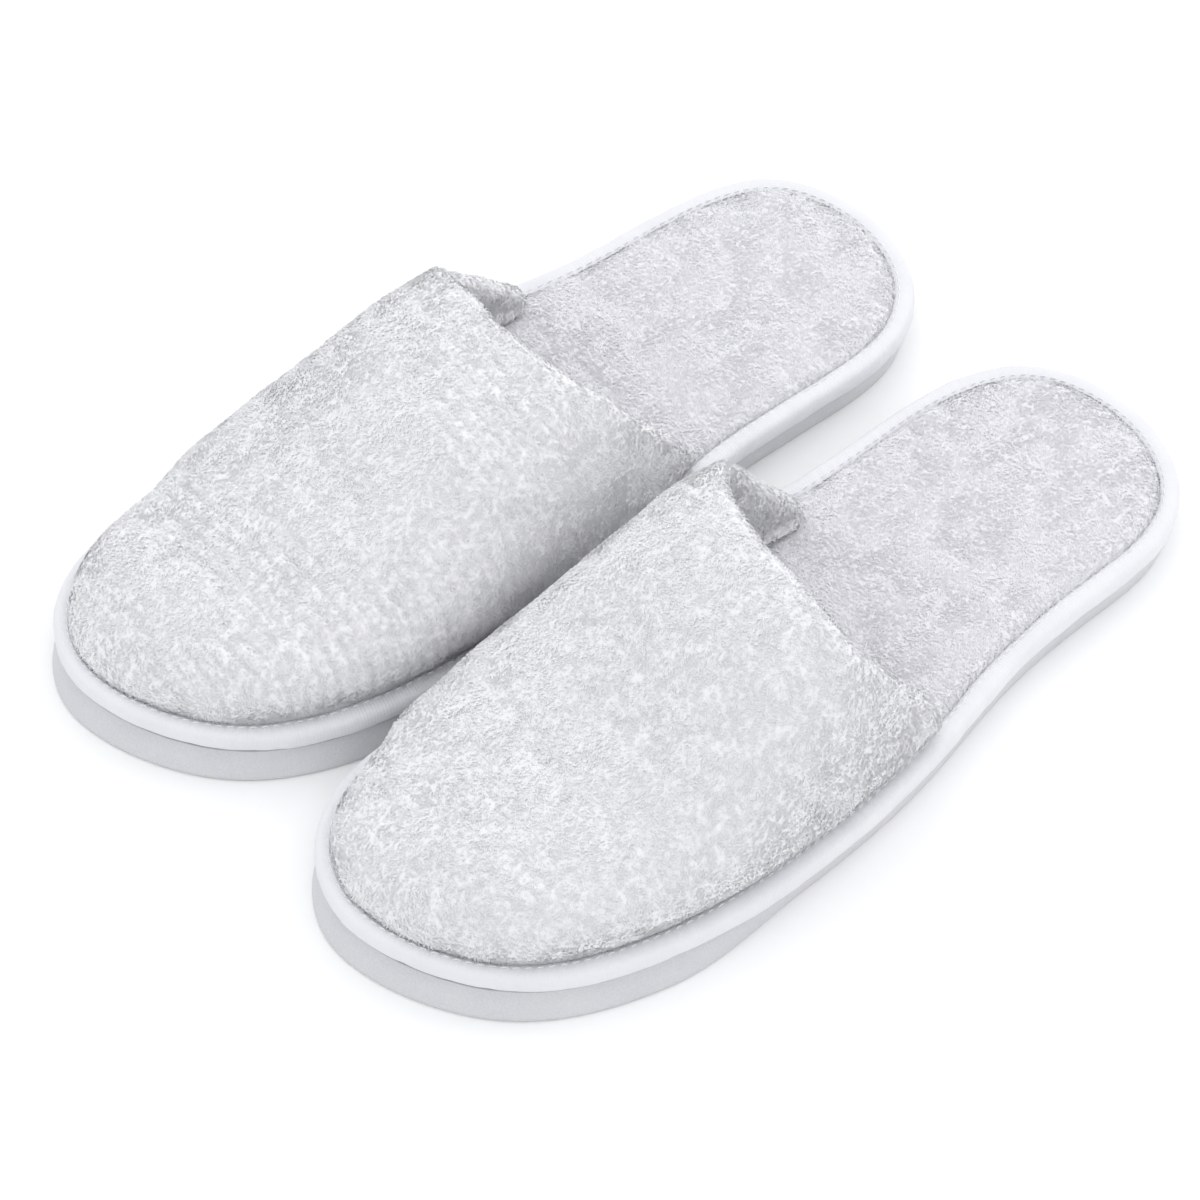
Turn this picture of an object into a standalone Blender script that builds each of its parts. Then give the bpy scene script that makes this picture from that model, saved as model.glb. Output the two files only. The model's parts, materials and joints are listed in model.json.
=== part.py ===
"""A pair of closed-toe, open-backed spa slippers lying side by side on the floor.

Each slipper is a foam outsole, an insole sandwich of board, pad and plush cover, a knitted
binding tape sewn round its edge, and a vamp of three layers: plush outside, foam inside it
and plush lining. The sole flexes just behind the vamp, so every sole layer is made as a front
and a rear solid that meet on the flex line.

Metres, +Z up, toes towards -Y. A slipper's own frame has its origin at the toe end on the
floor, with +Y towards the heel. Both slippers have the same outline, so the names of its two
sides are plus, towards +X, and minus, towards -X.
"""
import math

import bmesh
import bpy
import numpy as np

MM = 0.001

# Driving dimensions
LENGTH = 285 * MM
SPACING = 109.5 * MM
STAGGER = 9 * MM
FLEX_AT = 190 * MM
GAP = 0.3 * MM

# Half widths of the sole in millimetres on its two sides, at shares of the length from the toe
STATIONS = (0.03, 0.09, 0.18, 0.30, 0.42, 0.55, 0.68, 0.80, 0.90, 0.97)
PLUS_HALF_WIDTHS = (20.5, 40.5, 52.5, 58.0, 57.5, 53.0, 44.7, 42.0, 39.7, 26.8)
MINUS_HALF_WIDTHS = (31.5, 42.8, 47.0, 49.5, 49.5, 48.0, 44.3, 44.0, 41.0, 28.7)
TOE_TIP_OFFSET = -9 * MM
OUTLINE_POINTS = 48
SPLINE_STEPS = 50

# Heights of the sole's layers above the floor
OUTSOLE_TOP = 9.6 * MM
TAPE_BOTTOM = OUTSOLE_TOP + GAP
BOARD_TOP = 12.1 * MM
PAD_RIM = 13.3 * MM
COVER_RIM = 14.2 * MM
TAPE_TOP = 16.3 * MM
TAPE_WALL = 0.9 * MM
TAPE_WIDTH = 4.6 * MM
OUTSOLE_EDGE = 1.2 * MM

# How far in from the outline the rim of each layer ends
OUTSOLE_TOP_INSET = 0.5 * MM
BOARD_RIM_INSET = 1.9 * MM
BOARD_STEP = 0.4 * MM
PAD_RIM_INSET = 2.0 * MM

# Where the pad and the cover start to rise, and their heights in millimetres from there inwards
CROWN_TO_TAPE = 0.8 * MM
CROWN_TO_VAMP = 1.6 * MM
CROWN_CHANGE = 15 * MM
PAD_CROWN = ((0, 13.5), (5, 15.2), (10, 15.9))
COVER_CROWN = ((0, 14.4), (0.6, 16.4), (4, 18.0), (10, 19.0))

# The tape's section, a C open to the inside: inset and height above its own bottom, millimetres
TAPE_OUTSIDE = (
    (4.6, 0), (1.6, 0), (0.4, 1.1), (0, 3.2), (0.4, 5.3), (1.8, 6.4), (4.6, 6.3),
)
TAPE_INSIDE = (
    (4.6, 5.4), (2.2, 5.5), (1.3, 4.6), (0.9, 3.2), (1.3, 1.7), (2.0, 0.9), (4.6, 0.9),
)

# The foam outsole stands proud of the tape at the toe and sits under it behind the ball
TOE_OVERHANG = 1.2 * MM
WAIST_INSET = 2.5 * MM
OVERHANG_ENDS = (60 * MM, 110 * MM)

# The vamp: the height of its crest at distances from the toe, in millimetres
CREST_HEIGHTS = (
    (0, 25.0), (10, 28.5), (25, 34.0), (50, 40.0),
    (80, 50.0), (115, 65.5), (150, 75.0), (190, 78.0),
)
BELLY_HEIGHT = 24 * MM
BELLY_INSET = 0.8 * MM
VAMP_FOOT_INSET = TAPE_WIDTH + GAP
VAMP_FOOT = COVER_RIM + GAP
VAMP_LAYERS = (("upper_outer", 0.0, 2.0 * MM), ("upper_foam", 2.3 * MM, 4.5 * MM),
               ("upper_lining", 4.8 * MM, 6.3 * MM))
VAMP_BULK = 6.3 * MM
THROAT_MIDDLE = 141 * MM
THROAT_POWER = 4
ARCH_SHARE = 0.8
ARCH_WIDTH_POWER = 0.8
ARCH_HEIGHT_POWER = 0.9
CREST_SHIFT = 0.7
LEAST_ARCH = 0.4 * MM
FOOT_SHARE = 0.75
FOOT_POWER = 1.5
ARCH_RIBS = 15
FOOT_RIBS = (0.4, FOOT_SHARE, 1.0)
ROWS = 10
VAMP_OUTLINE_POINTS = 192

# The sewing thread along the tape's upper leg
STITCH_INSET = 3.5 * MM
STITCH_RADIUS = 0.25 * MM
STITCH_POINTS = 64

# Modelling tolerances
WELD = 0.001 * MM
CUT = 0.0001 * MM
SHARP_ANGLE = math.radians(35)

# Name, place of its origin, and where its vamp ends on the plus and the minus side
HALF_SPACING = SPACING / 2
CENTRE_SHIFT = -4.25 * MM
SLIPPERS = (
    ("left", HALF_SPACING + CENTRE_SHIFT, STAGGER, 161 * MM, 184 * MM),
    ("right", -HALF_SPACING + CENTRE_SHIFT, 0.0, 183 * MM, 187 * MM),
)

COLOURS = {
    "outsole": ((0.66, 0.66, 0.68), 0.62),
    "insole_board": ((0.72, 0.70, 0.66), 0.85),
    "insole_pad": ((0.82, 0.82, 0.80), 0.90),
    "insole_cover": ((0.82, 0.82, 0.85), 0.95),
    "binding": ((0.84, 0.84, 0.87), 0.80),
    "binding_stitching": ((0.86, 0.86, 0.88), 0.70),
    "upper_outer": ((0.87, 0.87, 0.89), 0.95),
    "upper_foam": ((0.85, 0.84, 0.78), 0.90),
    "upper_lining": ((0.84, 0.84, 0.87), 0.95),
}


def clear_scene():
    for item in list(bpy.data.objects):
        bpy.data.objects.remove(item, do_unlink=True)


def make_materials():
    materials = {}
    for name, (colour, roughness) in COLOURS.items():
        material = bpy.data.materials.new(name)
        material.use_nodes = True
        shader = material.node_tree.nodes["Principled BSDF"]
        shader.inputs["Base Color"].default_value = (*colour, 1.0)
        shader.inputs["Roughness"].default_value = roughness
        shader.inputs["Metallic"].default_value = 0.0
        materials[name] = material
    return materials


def smooth_step(value, low, high):
    share = np.clip((value - low) / (high - low), 0.0, 1.0)
    return share * share * (3.0 - 2.0 * share)


def closed_spline(points, count):
    """count points on the closed cubic spline through the given ones, evenly spaced along it."""
    steps = np.sqrt(np.linalg.norm(np.roll(points, -1, 0) - points, axis=1))
    size = len(points)
    matrix = np.zeros((size, size))
    right = np.zeros((size, 2))
    for i in range(size):
        before = steps[i - 1]
        after = steps[i]
        matrix[i, i - 1] += before
        matrix[i, i] += 2 * (before + after)
        matrix[i, (i + 1) % size] += after
        rise_after = (points[(i + 1) % size] - points[i]) / after
        rise_before = (points[i] - points[i - 1]) / before
        right[i] = 6 * (rise_after - rise_before)
    bend = np.linalg.solve(matrix, right)
    fine = []
    for i in range(size):
        j = (i + 1) % size
        step = steps[i]
        for share in np.arange(SPLINE_STEPS) / SPLINE_STEPS:
            a = 1 - share
            curve = (a ** 3 - a) * bend[i] + (share ** 3 - share) * bend[j]
            fine.append(a * points[i] + share * points[j] + curve * step ** 2 / 6)
    fine = np.array(fine + [fine[0]])
    run = np.concatenate([[0], np.cumsum(np.linalg.norm(np.diff(fine, axis=0), axis=1))])
    at = np.linspace(0, run[-1], count, endpoint=False)
    return np.stack([np.interp(at, run, fine[:, 0]), np.interp(at, run, fine[:, 1])], axis=1)


def sole_outline(count):
    """The sole's outline seen from above, anticlockwise from the toe tip."""
    plus = [(half * MM, share * LENGTH) for half, share in zip(PLUS_HALF_WIDTHS, STATIONS)]
    minus = [(-half * MM, share * LENGTH) for half, share in zip(MINUS_HALF_WIDTHS, STATIONS)]
    corners = [(TOE_TIP_OFFSET, 0.0)] + plus + [(0.0, LENGTH)] + minus[::-1]
    return closed_spline(np.array(corners), count)


def inset(outline, distance):
    """The outline moved inwards by a distance, which may differ from point to point."""
    along = np.roll(outline, -1, 0) - np.roll(outline, 1, 0)
    along /= np.linalg.norm(along, axis=1)[:, None]
    inward = np.stack([-along[:, 1], along[:, 0]], axis=1)
    return outline + inward * np.reshape(distance, (-1, 1))


def ring(outline, distance, height):
    flat = inset(outline, np.broadcast_to(distance, len(outline)))
    heights = np.broadcast_to(height, len(outline))
    return np.column_stack([flat, heights])


def add_rings(mesh, rings, closed_profile):
    """Skins the rings one to the next. An open profile gets a cap on its first and last ring."""
    rows = [[mesh.verts.new(point) for point in points] for points in rings]
    pairs = list(zip(rows, rows[1:]))
    if closed_profile:
        pairs.append((rows[-1], rows[0]))
    for low, high in pairs:
        for i in range(len(low)):
            j = (i + 1) % len(low)
            mesh.faces.new((low[i], low[j], high[j], high[i]))
    if not closed_profile:
        mesh.faces.new(rows[0][::-1])
        mesh.faces.new(rows[-1])


def cut_half(mesh, keep_front):
    """Cuts the mesh on the flex line, keeps one half and closes the cut."""
    side = -1 if keep_front else 1
    plane = (0, FLEX_AT + side * GAP / 2, 0)
    whole = list(mesh.verts) + list(mesh.edges) + list(mesh.faces)
    bmesh.ops.bisect_plane(mesh, geom=whole, dist=CUT, plane_co=plane, plane_no=(0, 1, 0),
                           clear_outer=keep_front, clear_inner=not keep_front)
    open_edges = [edge for edge in mesh.edges if edge.is_boundary]
    bmesh.ops.holes_fill(mesh, edges=open_edges, sides=0)


def place(mesh, name, material, parent):
    """Turns the finished mesh into a named object under the slipper's empty."""
    bmesh.ops.remove_doubles(mesh, verts=mesh.verts, dist=WELD)
    bmesh.ops.triangulate(mesh, faces=[face for face in mesh.faces if len(face.verts) > 4])
    bmesh.ops.recalc_face_normals(mesh, faces=mesh.faces)
    data = bpy.data.meshes.new(name)
    mesh.to_mesh(data)
    mesh.free()
    data.shade_smooth()
    data.set_sharp_from_angle(angle=SHARP_ANGLE)
    data.materials.append(material)
    item = bpy.data.objects.new(name, data)
    bpy.context.scene.collection.objects.link(item)
    item.parent = parent
    return item


def split_layer(side, kind, rings, materials, parent, closed_profile=False):
    """Makes the front and the rear solid of one layer of the sole."""
    for end in ("front", "rear"):
        mesh = bmesh.new()
        add_rings(mesh, rings, closed_profile)
        bmesh.ops.recalc_face_normals(mesh, faces=mesh.faces)
        cut_half(mesh, end == "front")
        place(mesh, f"{side}_{kind}_{end}", materials[kind], parent)


def outsole_rings(outline):
    behind = smooth_step(outline[:, 1], *OVERHANG_ENDS)
    bottom = -TOE_OVERHANG + (TOE_OVERHANG + WAIST_INSET) * behind
    top = OUTSOLE_TOP_INSET + (WAIST_INSET - OUTSOLE_TOP_INSET) * behind
    return [
        ring(outline, bottom + OUTSOLE_EDGE, 0),
        ring(outline, bottom, OUTSOLE_EDGE),
        ring(outline, top, OUTSOLE_TOP - OUTSOLE_EDGE),
        ring(outline, top + OUTSOLE_EDGE, OUTSOLE_TOP),
    ]


def board_rings(outline):
    """A flat board whose rim lies on the tape's lower leg."""
    step = TAPE_WIDTH + BOARD_STEP
    leg_top = TAPE_BOTTOM + TAPE_WALL + GAP
    return [
        ring(outline, step, TAPE_BOTTOM),
        ring(outline, step, leg_top),
        ring(outline, BOARD_RIM_INSET, leg_top),
        ring(outline, BOARD_RIM_INSET, BOARD_TOP),
    ]


def crown_start(outline):
    """How far in the plush starts to rise: just inside the tape, or inside the vamp's walls."""
    open_back = smooth_step(outline[:, 1], FLEX_AT, FLEX_AT + CROWN_CHANGE)
    under_vamp = VAMP_FOOT_INSET + VAMP_BULK + CROWN_TO_VAMP
    return under_vamp + (TAPE_WIDTH + CROWN_TO_TAPE - under_vamp) * open_back


def crown_rings(outline, profile, lift=0.0):
    start = crown_start(outline)
    return [ring(outline, start + step * MM, height * MM + lift) for step, height in profile]


def pad_rings(outline):
    rim = [
        ring(outline, PAD_RIM_INSET, BOARD_TOP + GAP),
        ring(outline, PAD_RIM_INSET, PAD_RIM),
    ]
    return rim + crown_rings(outline, PAD_CROWN)


def cover_rings(outline):
    """The cover lies on the pad, so its underside is the pad's top lifted by the gap."""
    underside = crown_rings(outline, PAD_CROWN, lift=GAP)[::-1]
    rim = [
        ring(outline, PAD_RIM_INSET, PAD_RIM + GAP),
        ring(outline, PAD_RIM_INSET, COVER_RIM),
    ]
    return underside + rim + crown_rings(outline, COVER_CROWN)


def tape_rings(outline):
    """The tape is a C round the edge of the sandwich: outside up, then inside down."""
    section = TAPE_OUTSIDE + TAPE_INSIDE
    return [ring(outline, step * MM, TAPE_BOTTOM + height * MM) for step, height in section]


def stitch_rings(outline):
    """The sewing thread, lying on the tape's upper leg."""
    height = TAPE_TOP + GAP + STITCH_RADIUS
    corners = ((1, 0), (0, 1), (-1, 0), (0, -1))
    return [
        ring(outline, STITCH_INSET + STITCH_RADIUS * across, height + STITCH_RADIUS * up)
        for across, up in corners
    ]


def half_widths(outline, distance, along):
    """The inset outline's x on both sides at a distance along the slipper, and its toe's y."""
    moved = inset(outline, distance)
    toe = int(np.argmin(moved[:, 1]))
    moved = np.roll(moved, -toe, 0)
    heel = int(np.argmax(moved[:, 1]))
    plus = moved[: heel + 1]
    minus = np.vstack([moved[heel:], moved[:1]])[::-1]
    plus_x = np.interp(along, plus[:, 1], plus[:, 0])
    minus_x = np.interp(along, minus[:, 1], minus[:, 0])
    return plus_x, minus_x, plus[0, 1]


def crest_height(along, depth):
    """An inner skin's crest starts further back as well as lower, by a share of its depth."""
    stations = np.array(CREST_HEIGHTS) * MM
    shifted = np.maximum(along - CREST_SHIFT * depth, 0)
    lowest = BELLY_HEIGHT + LEAST_ARCH
    return np.maximum(np.interp(shifted, stations[:, 0], stations[:, 1]) - depth, lowest)


def vamp_point(outline, turn, share, depth, throat):
    """A point of the vamp's skin. turn runs from the plus foot, -1, over 0 to the minus foot, 1."""
    rise = max(abs(turn) - ARCH_SHARE, 0) / (1 - ARCH_SHARE)
    angle = min(abs(turn) / ARCH_SHARE, 1) * math.pi / 2
    side = -1 if turn < 0 else 1
    belly = BELLY_INSET + depth
    foot = VAMP_FOOT_INSET + depth
    distance = belly + (foot - belly) * min(rise / FOOT_SHARE, 1) ** FOOT_POWER
    start = half_widths(outline, distance, 0)[2]
    end_y = throat[0] if turn < 0 else throat[1]
    end_y = THROAT_MIDDLE + (end_y - THROAT_MIDDLE) * math.sin(angle) ** THROAT_POWER
    along = start + (end_y - start) * (1 - math.cos(share * math.pi / 2))
    plus_x, minus_x, _ = half_widths(outline, distance, along)
    middle = (plus_x + minus_x) / 2
    half = (plus_x - minus_x) / 2
    x = middle - side * half * math.sin(angle) ** ARCH_WIDTH_POWER
    if rise > 0:
        return (x, along, BELLY_HEIGHT + (VAMP_FOOT - BELLY_HEIGHT) * rise)
    arch = max(math.cos(angle), 0) ** ARCH_HEIGHT_POWER
    return (x, along, BELLY_HEIGHT + (crest_height(along, depth) - BELLY_HEIGHT) * arch)


def rib_turns():
    """The ribs across the vamp: even over the arch, and at chosen heights on its two feet."""
    arch = list(np.linspace(-ARCH_SHARE, ARCH_SHARE, ARCH_RIBS))
    foot = [ARCH_SHARE + (1 - ARCH_SHARE) * rise for rise in FOOT_RIBS]
    return [-turn for turn in foot[::-1]] + arch + foot


def vamp_skin(mesh, outline, depth, throat):
    turns = rib_turns()
    shares = np.linspace(0, 1, ROWS)
    rows = []
    for share in shares:
        row = [mesh.verts.new(vamp_point(outline, turn, share, depth, throat)) for turn in turns]
        rows.append(row)
    for low, high in zip(rows, rows[1:]):
        for i in range(len(turns) - 1):
            mesh.faces.new((low[i], low[i + 1], high[i + 1], high[i]))
    return rows


def vamp_layer(outline, side, kind, depths, throat, materials, parent):
    """One closed shell: an outer and an inner skin joined along both feet and the throat."""
    mesh = bmesh.new()
    outer = vamp_skin(mesh, outline, depths[0], throat)
    inner = vamp_skin(mesh, outline, depths[1], throat)
    for row in range(ROWS - 1):
        for edge in (0, -1):
            corners = (outer[row][edge], outer[row + 1][edge], inner[row + 1][edge], inner[row][edge])
            mesh.faces.new(corners)
    for i in range(len(outer[-1]) - 1):
        mesh.faces.new((outer[-1][i], outer[-1][i + 1], inner[-1][i + 1], inner[-1][i]))
    place(mesh, f"{side}_{kind}", materials[kind], parent)


def make_slipper(side, place_x, place_y, plus_throat, minus_throat, materials):
    parent = bpy.data.objects.new(f"{side}_slipper", None)
    bpy.context.scene.collection.objects.link(parent)
    parent.location = (place_x, place_y - (LENGTH + STAGGER) / 2, 0)
    outline = sole_outline(OUTLINE_POINTS)
    layers = (
        ("outsole", outsole_rings), ("insole_board", board_rings), ("insole_pad", pad_rings),
        ("insole_cover", cover_rings),
    )
    for kind, rings in layers:
        split_layer(side, kind, rings(outline), materials, parent)
    split_layer(side, "binding", tape_rings(outline), materials, parent, closed_profile=True)
    fine_outline = sole_outline(STITCH_POINTS)
    split_layer(side, "binding_stitching", stitch_rings(fine_outline), materials, parent,
                closed_profile=True)
    smooth_outline = sole_outline(VAMP_OUTLINE_POINTS)
    for kind, outer_depth, inner_depth in VAMP_LAYERS:
        vamp_layer(smooth_outline, side, kind, (outer_depth, inner_depth),
                   (plus_throat, minus_throat), materials, parent)


def main():
    clear_scene()
    materials = make_materials()
    for slipper in SLIPPERS:
        make_slipper(*slipper, materials)


main()
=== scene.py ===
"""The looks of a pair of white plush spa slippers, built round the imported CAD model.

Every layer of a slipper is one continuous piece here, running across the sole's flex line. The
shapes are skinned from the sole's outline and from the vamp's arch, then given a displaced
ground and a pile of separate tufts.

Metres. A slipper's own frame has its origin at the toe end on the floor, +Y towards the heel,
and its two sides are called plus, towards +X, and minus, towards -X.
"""
import itertools
import json
import math

import bmesh
import bpy
import numpy as np
from mathutils import Matrix, Vector


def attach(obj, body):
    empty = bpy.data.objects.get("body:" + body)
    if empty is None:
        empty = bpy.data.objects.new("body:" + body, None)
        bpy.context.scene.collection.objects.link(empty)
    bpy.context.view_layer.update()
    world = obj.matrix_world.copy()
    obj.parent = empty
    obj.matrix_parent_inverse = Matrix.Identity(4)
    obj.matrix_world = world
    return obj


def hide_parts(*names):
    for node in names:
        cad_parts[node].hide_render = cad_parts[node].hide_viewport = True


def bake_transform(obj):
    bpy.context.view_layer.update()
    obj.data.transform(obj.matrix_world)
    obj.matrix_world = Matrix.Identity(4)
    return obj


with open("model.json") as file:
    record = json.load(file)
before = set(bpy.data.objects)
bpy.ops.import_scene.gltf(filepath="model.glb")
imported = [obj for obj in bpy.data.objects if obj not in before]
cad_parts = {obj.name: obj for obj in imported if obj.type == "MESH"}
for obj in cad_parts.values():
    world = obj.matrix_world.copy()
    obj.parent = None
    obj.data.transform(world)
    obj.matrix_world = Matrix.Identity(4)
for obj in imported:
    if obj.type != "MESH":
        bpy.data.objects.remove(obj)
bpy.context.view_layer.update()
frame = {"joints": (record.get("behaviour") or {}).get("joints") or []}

MM = 0.001

# The sole's outline, as in the CAD source
LENGTH = 285 * MM
FLEX_AT = 190 * MM
STATIONS = (0.03, 0.09, 0.18, 0.30, 0.42, 0.55, 0.68, 0.80, 0.90, 0.97)
PLUS_HALF_WIDTHS = (20.5, 40.5, 52.5, 58.0, 57.5, 53.0, 44.7, 42.0, 39.7, 26.8)
MINUS_HALF_WIDTHS = (31.5, 42.8, 47.0, 49.5, 49.5, 48.0, 44.3, 44.0, 41.0, 28.7)
TOE_TIP_OFFSET = -9 * MM
SPLINE_STEPS = 200
SIDE_POINTS = 380
SPINE_ENDS = (48 * MM, LENGTH - 42 * MM)
STRAIGHT_INSET = 12 * MM

# Heights above the floor
OUTSOLE_TOP = 9.6 * MM
BOARD_BOTTOM = 11.1 * MM
BOARD_TOP = 12.1 * MM
TAPE_BOTTOM = 9.9 * MM

# The vamp
BELLY_HEIGHTS = (17.2 * MM, 24 * MM)
BELLY_RISE = (5 * MM, 42 * MM)
BELLY_INSET = 0.8 * MM
VAMP_FOOT_INSET = 4.9 * MM
VAMP_FOOT = 14.5 * MM
ARCH_SHARE = 0.8
FOOT_SHARE = 0.75
SKIN_DEPTH = 0.8 * MM
PLUS_TUCK = ((0, 3.5), (15, 3.3), (30, 2.5), (50, 1.3), (75, 0.4), (90, 0))
FOAM_DEPTHS = (2.6 * MM, 4.4 * MM)
LINING_DEPTHS = (4.8 * MM, 6.3 * MM)

# Added to a slipper's seed for the noise of each of its pieces
SEED_STEPS = {
    "outsole": 20, "cover": 40, "tape": 60, "vamp": 80, "lining": 90,
    "vamp_pile": 100, "insole_pile": 110, "lining_pile": 120,
}

# Each slipper, in millimetres but for lean:
# crest: the height of the vamp's crest at distances from the toe
# plus, minus: where the throat ends at angles down from the crest, in degrees, on the two sides
# feet: where the two sides' feet end
# tuck: how far the minus wall stands in at distances from the toe, as PLUS_TUCK for the plus wall
# shoulder: what the minus half's arch is raised by at distances from the toe
# lean: how far the minus wall leans in at the throat
# splay: the sideways shift of the sole at distances from the toe
# ribs: the depth of the cross ribs in the plush
LOOKS = {
    "left": {
        "crest": (
            (0, 15.5), (4, 18.8), (8, 23), (14, 28.2), (25, 33.6), (50, 39.5), (80, 47.5), (100, 59),
            (115, 67.5), (127, 73), (140, 75.5), (165, 77),
        ),
        "plus": ((0, 134.5), (29, 135), (42, 137), (51, 141), (65, 147), (76, 153), (90, 159.5)),
        "minus": ((0, 134.5), (21, 139), (45, 151), (75, 168), (83, 174), (90, 179.5)),
        "feet": (158, 174),
        "tuck": ((0, 3.5), (15, 4), (30, 5), (38, 4.5), (46, 1.8), (62, 0.6), (72, 0)),
        "shoulder": (
            (0, 0), (60, 0), (75, 3), (95, 4), (112, 4.5), (125, 4), (136, 5.5), (150, 3.5), (170, 0),
        ),
        "lean": 9 * MM,
        "splay": ((0, 0), (178, 0), (214, -1.2), (232, -1.9), (285, -2)),
        "ribs": 0.08,
        "seed": 3,
    },
    "right": {
        "crest": (
            (0, 15.5), (4, 18.6), (8, 22.6), (14, 27.6), (25, 33.6), (50, 41), (80, 53.5), (115, 68.5),
            (140, 73.5), (165, 76),
        ),
        "plus": ((0, 139), (17, 141), (27, 144), (40, 150), (59, 158), (74, 167), (90, 177)),
        "minus": ((0, 139), (27, 143), (68, 157), (84, 172), (90, 178)),
        "feet": (179, 172.5),
        "tuck": ((0, 3.5), (20, 4), (40, 5), (50, 4.5), (62, 2.5), (80, 1), (95, 0)),
        "shoulder": (
            (0, 0), (60, 0), (80, -1.5), (95, -2.8), (115, -2.4), (130, -1.2), (143, -2), (165, 0),
        ),
        "lean": 6.5 * MM,
        "splay": ((0, 0.3), (150, 0), (182, 0), (196, 1.3), (215, 3.0), (232, 3.6), (285, 3.4)),
        "ribs": 0.4,
        "seed": 8,
    },
}


# ---------------------------------------------------------------- numbers

def smooth_step(value, low, high):
    share = np.clip((value - low) / (high - low), 0.0, 1.0)
    return share * share * (3.0 - 2.0 * share)


def curve_through(table, at):
    """A smooth curve through a table of (place, value) rows, level past its ends."""
    x, y = np.array(table, float).T
    slope = np.gradient(y, x)
    at = np.clip(at, x[0], x[-1])
    i = np.clip(np.searchsorted(x, at) - 1, 0, len(x) - 2)
    step = x[i + 1] - x[i]
    t = (at - x[i]) / step
    rise = (2 * t ** 3 - 3 * t ** 2 + 1) * y[i] + (3 * t ** 2 - 2 * t ** 3) * y[i + 1]
    return rise + step * ((t ** 3 - 2 * t ** 2 + t) * slope[i] + (t ** 3 - t ** 2) * slope[i + 1])


AXIS_PRIMES = (73856093, 19349663, 83492791)
SEED_PRIME = 2654435761
MIXING = ((15, 2246822519), (13, 3266489917))
LOW_32_BITS = 0xFFFFFFFF
LOW_16_BITS = 0xFFFF


def lattice(cell, seed):
    """A repeatable random number from 0 to 1 for each lattice point."""
    products = [cell[:, axis] * prime for axis, prime in enumerate(AXIS_PRIMES)]
    mixed = products[0] ^ products[1] ^ products[2]
    mixed = (mixed ^ (seed * SEED_PRIME)) & LOW_32_BITS
    for shift, prime in MIXING:
        mixed = ((mixed ^ (mixed >> shift)) * prime) & LOW_32_BITS
    return ((mixed ^ (mixed >> 16)) & LOW_16_BITS) / LOW_16_BITS


def noise(points, size, seed):
    """Smooth noise from -1 to 1 with features about as large as size."""
    scaled = np.asarray(points, float) / size
    cell = np.floor(scaled).astype(np.int64)
    part = scaled - cell
    part = part * part * (3 - 2 * part)
    total = np.zeros(len(scaled))
    for corner in itertools.product((0, 1), repeat=3):
        weight = np.prod(np.where(corner, part, 1 - part), axis=1)
        total += weight * lattice(cell + np.array(corner), seed)
    return 2 * total - 1


# ---------------------------------------------------------------- the sole's outline

def closed_spline(points):
    """A smooth closed curve through the points, as SPLINE_STEPS points for each."""
    steps = np.sqrt(np.linalg.norm(np.roll(points, -1, 0) - points, axis=1))
    size = len(points)
    matrix = np.zeros((size, size))
    right = np.zeros((size, 2))
    for i in range(size):
        before, after = steps[i - 1], steps[i]
        matrix[i, i - 1] += before
        matrix[i, i] += 2 * (before + after)
        matrix[i, (i + 1) % size] += after
        rise_after = (points[(i + 1) % size] - points[i]) / after
        right[i] = 6 * (rise_after - (points[i] - points[i - 1]) / before)
    bend = np.linalg.solve(matrix, right)
    share = (np.arange(SPLINE_STEPS) / SPLINE_STEPS)[:, None]
    rest = 1 - share
    runs = []
    for i in range(size):
        j = (i + 1) % size
        curve = (rest ** 3 - rest) * bend[i] + (share ** 3 - share) * bend[j]
        runs.append(rest * points[i] + share * points[j] + curve * steps[i] ** 2 / 6)
    return np.vstack(runs)


def run_along(line):
    """The length of a line up to each of its points."""
    return np.concatenate([[0], np.cumsum(np.linalg.norm(np.diff(line, axis=0), axis=1))])


def evenly(line, count):
    """A flat line's points, spread evenly."""
    run = run_along(line)
    at = np.linspace(0, run[-1], count)
    return np.stack([np.interp(at, run, line[:, k]) for k in (0, 1)], axis=1)


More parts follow.
